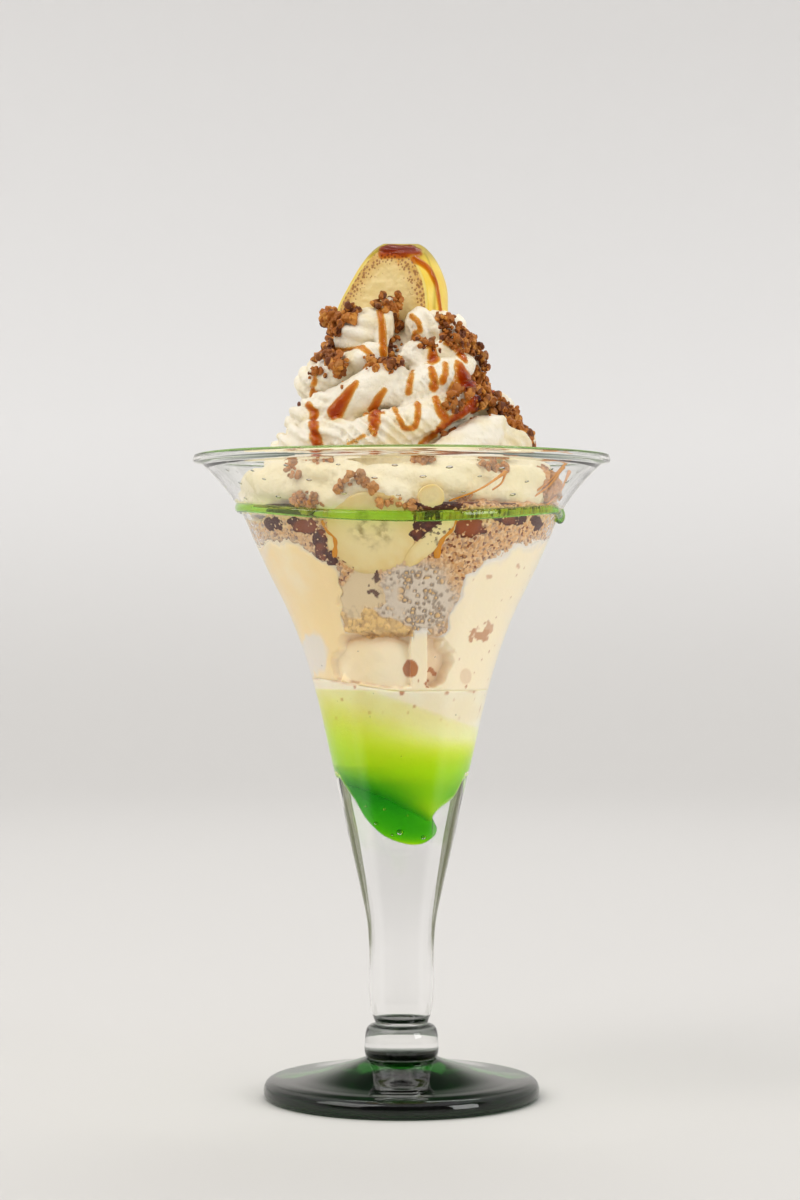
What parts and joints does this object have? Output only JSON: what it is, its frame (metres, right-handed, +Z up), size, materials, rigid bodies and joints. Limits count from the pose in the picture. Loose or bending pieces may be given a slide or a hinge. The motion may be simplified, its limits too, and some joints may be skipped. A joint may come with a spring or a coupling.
{
  "type": "banoffee sundae in a stemmed glass",
  "caption": "Tall trumpet-shaped stemmed glass filled with ice cream, biscuit crumb, toffee and banana under piped whipped cream, with an unpeeled banana end on top",
  "frame": {"origin": "centre of the foot's underside, at the bottom centre of the bounding box", "axes": "+Z points up along the stem, the shown side faces -Y, +X is to the viewer's right"},
  "size_m": [0.1342, 0.1342, 0.2732],
  "materials": {
    "clear_glass": "clear hand-blown glass with seeds",
    "green_glass": "bright green hand-blown glass",
    "dark_green_glass": "deep green polished glass",
    "ice_cream": "soft vanilla ice cream, wet against the glass",
    "biscuit_crumb": "rough baked biscuit crumb",
    "toffee": "glossy runny toffee",
    "whipped_cream": "piped whipped cream with a fine grain",
    "banana_flesh": "moist cut banana",
    "banana_peel": "ripe waxy banana peel"
  },
  "bodies": {
    "root": {"foot": "dark_green_glass", "stem_knob": "clear_glass", "bowl_and_stem": "clear_glass", "green_base": "green_glass", "green_trail": "green_glass", "lip_thread": "green_glass", "melted_ice_cream": "ice_cream", "ice_cream": "ice_cream", "biscuit_crumb": "biscuit_crumb", "toffee": "toffee", "whipped_cream": "whipped_cream", "banana_slice_front": "banana_flesh", "banana_slice_front_right": "banana_flesh", "banana_slice_upper": "banana_flesh", "banana_slice_back_left": "banana_flesh", "banana_slice_back_right": "banana_flesh", "banana_tip_peel": "banana_peel", "banana_tip_flesh": "banana_flesh", "biscuit_lump_left": "biscuit_crumb", "biscuit_lump_right": "biscuit_crumb", "biscuit_heap_right": "biscuit_crumb"}
  },
  "joints": []
}
